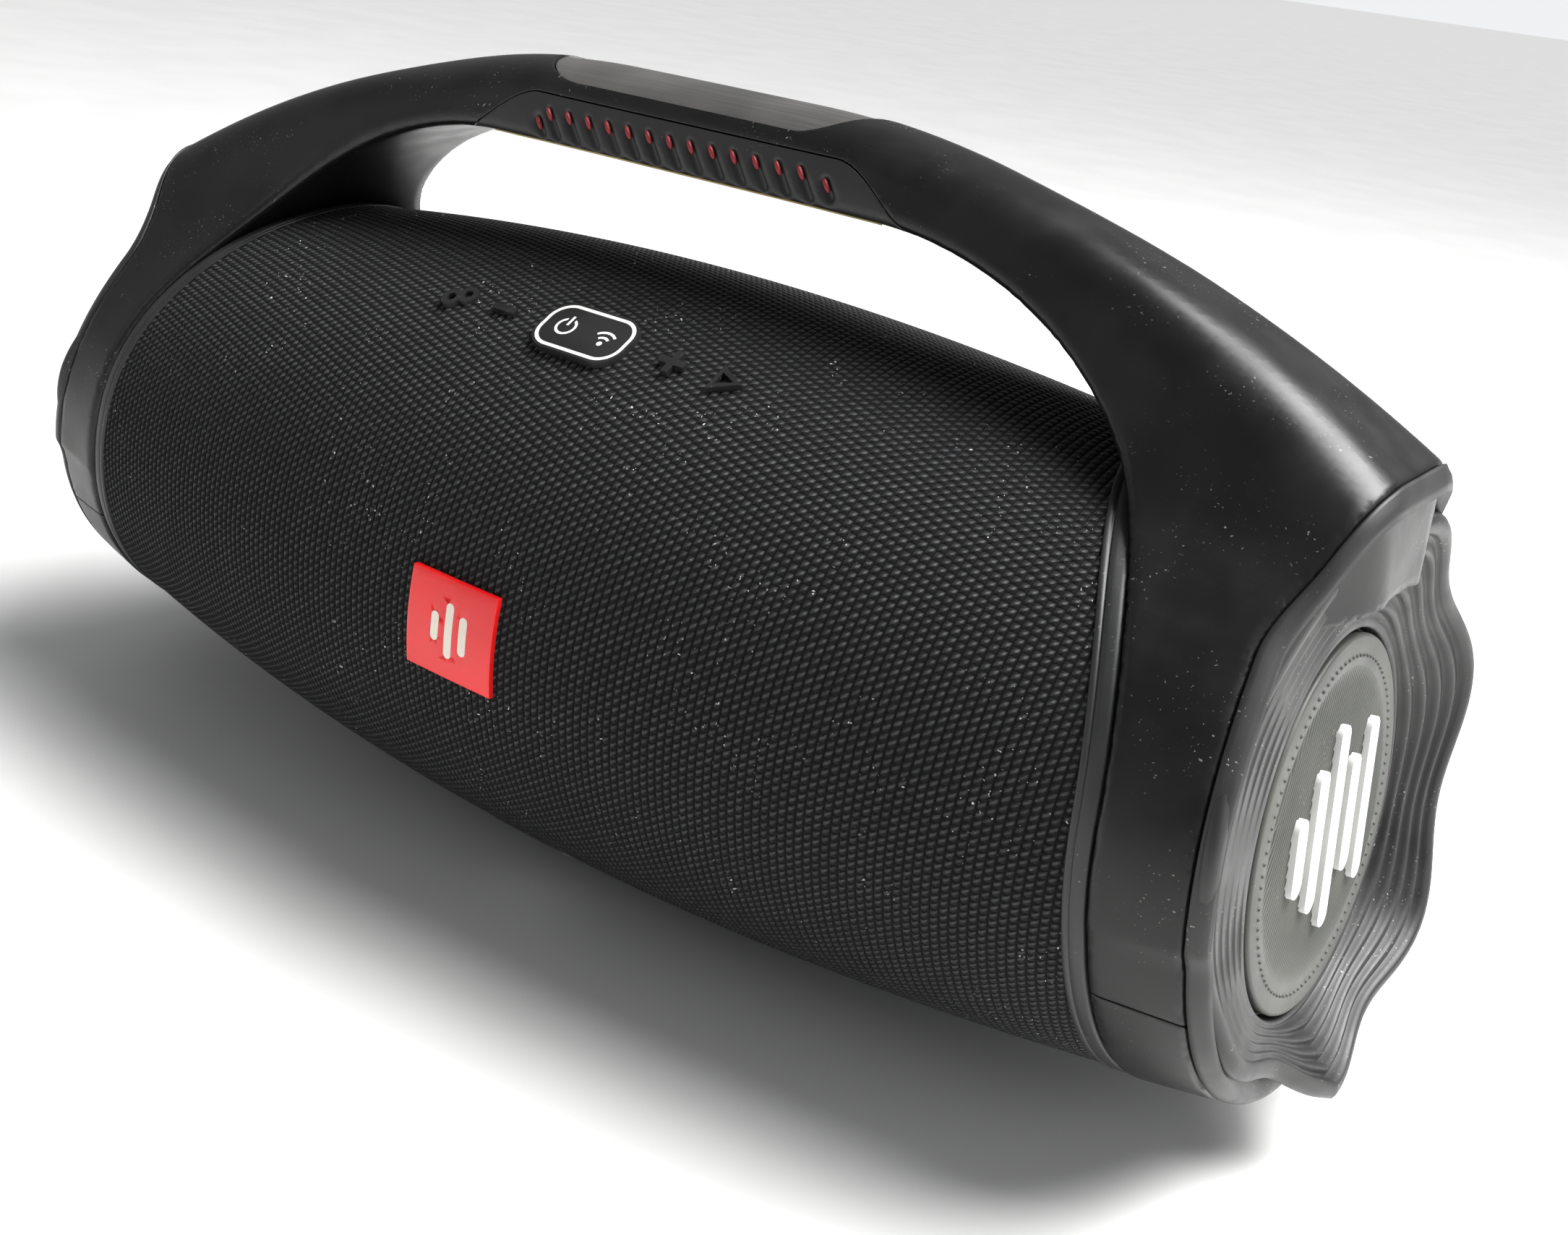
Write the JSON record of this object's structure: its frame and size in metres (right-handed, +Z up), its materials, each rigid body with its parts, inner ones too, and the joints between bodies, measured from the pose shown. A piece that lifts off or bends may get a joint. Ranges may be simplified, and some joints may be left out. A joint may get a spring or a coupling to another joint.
{
  "type": "portable bluetooth speaker",
  "caption": "Barrel-shaped portable speaker with a carrying handle, fabric front, key row, end radiators with wavy rubber bumpers and a rear port flap.",
  "frame": {"origin": "on the table under the middle of the speaker, at the bottom centre of its box", "axes": "+X along the drum to the speaker's left end as it is seen from behind, -Y out of the front with the badge, +Z up"},
  "size_m": [0.485, 0.2009, 0.256],
  "materials": {
    "fabric": "coarse woven mesh",
    "shell": "satin soft touch",
    "grip": "matt",
    "accent": "satin",
    "inlay": "satin",
    "bumper": "matt",
    "trim": "satin",
    "disc": "fine ribbed",
    "white_print": "gloss",
    "badge_red": "gloss",
    "badge_cream": "satin",
    "key": "satin",
    "cabinet": "moulded",
    "cone": "pressed fibre",
    "basket": "satin black",
    "magnet": "plain",
    "dome": "satin",
    "board": "printed board",
    "battery": "shrink film",
    "lens": "translucent",
    "jack": "moulded",
    "jack_metal": "plated",
    "foot": "matt"
  },
  "bodies": {
    "chassis": {"cabinet_shell": "cabinet", "grille_cage": "cabinet", "baffle": "cabinet", "fabric_sleeve": "fabric", "trim_left": "trim", "trim_right": "trim", "handle_shell": "shell", "handle_grip": "grip", "grip_accents": "accent", "handle_inlay": "inlay", "ring_lower_left": "shell", "ring_lower_right": "shell", "bumper_left": "bumper", "bumper_right": "bumper", "radiator_frame_left": "cabinet", "radiator_frame_right": "cabinet", "radiator_surround_left": "grip", "radiator_surround_right": "grip", "woofer_basket_left": "basket", "woofer_basket_right": "basket", "woofer_magnet_left": "magnet", "woofer_magnet_right": "magnet", "woofer_surround_left": "grip", "woofer_surround_right": "grip", "tweeter_body_left": "basket", "tweeter_body_right": "basket", "badge": "badge_red", "badge_mark": "badge_cream", "key_board": "board", "base_plate": "cabinet", "foot_left": "foot", "foot_right": "foot", "led_strip": "lens", "battery_pack": "battery", "main_board": "board", "port_bay": "jack", "aux_jack": "jack", "power_jack": "jack", "usb_jack": "jack_metal"},
    "radiator_left": {"radiator_disc_left": "disc", "end_mark_left": "white_print"},
    "radiator_right": {"radiator_disc_right": "disc", "end_mark_right": "white_print"},
    "woofer_left": {"woofer_cone_left": "cone"},
    "woofer_right": {"woofer_cone_right": "cone"},
    "tweeter_left": {"tweeter_dome_left": "dome"},
    "tweeter_right": {"tweeter_dome_right": "dome"},
    "link_key": {"key_link": "key"},
    "minus_key": {"key_minus": "key"},
    "power_key": {"key_power": "key", "key_power_print": "white_print"},
    "plus_key": {"key_plus": "key"},
    "play_key": {"key_play": "key"},
    "port_flap": {"port_cover": "grip"}
  },
  "joints": [
    {"name": "radiator_left_travel", "type": "slide", "parent": "chassis", "child": "radiator_left", "axis": [-0.9925, 0, 0.1219], "range_m": [-0.003, 0.003], "stiffness_N_per_m": 3000},
    {"name": "radiator_right_travel", "type": "slide", "parent": "chassis", "child": "radiator_right", "axis": [0.9925, 0, 0.1219], "range_m": [-0.003, 0.003], "stiffness_N_per_m": 3000},
    {"name": "woofer_left_travel", "type": "slide", "parent": "chassis", "child": "woofer_left", "axis": [0, -1, 0], "range_m": [-0.004, 0.004], "stiffness_N_per_m": 2500},
    {"name": "woofer_right_travel", "type": "slide", "parent": "chassis", "child": "woofer_right", "axis": [0, -1, 0], "range_m": [-0.004, 0.004], "stiffness_N_per_m": 2500},
    {"name": "tweeter_left_travel", "type": "slide", "parent": "chassis", "child": "tweeter_left", "axis": [0, -1, 0], "range_m": [-0.0003, 0.0003], "stiffness_N_per_m": 4000},
    {"name": "tweeter_right_travel", "type": "slide", "parent": "chassis", "child": "tweeter_right", "axis": [0, -1, 0], "range_m": [-0.0003, 0.0003], "stiffness_N_per_m": 4000},
    {"name": "link_key_press", "type": "slide", "parent": "chassis", "child": "link_key", "axis": [0, 0.5255, -0.8508], "range_m": [0, 0.001], "stiffness_N_per_m": 1500},
    {"name": "minus_key_press", "type": "slide", "parent": "chassis", "child": "minus_key", "axis": [0, 0.5255, -0.8508], "range_m": [0, 0.001], "stiffness_N_per_m": 1500},
    {"name": "power_key_press", "type": "slide", "parent": "chassis", "child": "power_key", "axis": [0, 0.5255, -0.8508], "range_m": [0, 0.001], "stiffness_N_per_m": 1500},
    {"name": "plus_key_press", "type": "slide", "parent": "chassis", "child": "plus_key", "axis": [0, 0.5255, -0.8508], "range_m": [0, 0.001], "stiffness_N_per_m": 1500},
    {"name": "play_key_press", "type": "slide", "parent": "chassis", "child": "play_key", "axis": [0, 0.5255, -0.8508], "range_m": [0, 0.001], "stiffness_N_per_m": 1500},
    {"name": "port_cover_swing", "type": "hinge", "parent": "chassis", "child": "port_flap", "pos_m": [0, 0.0905, 0.0585], "axis": [-1, 0, 0], "range_deg": [0, 100]}
  ]
}
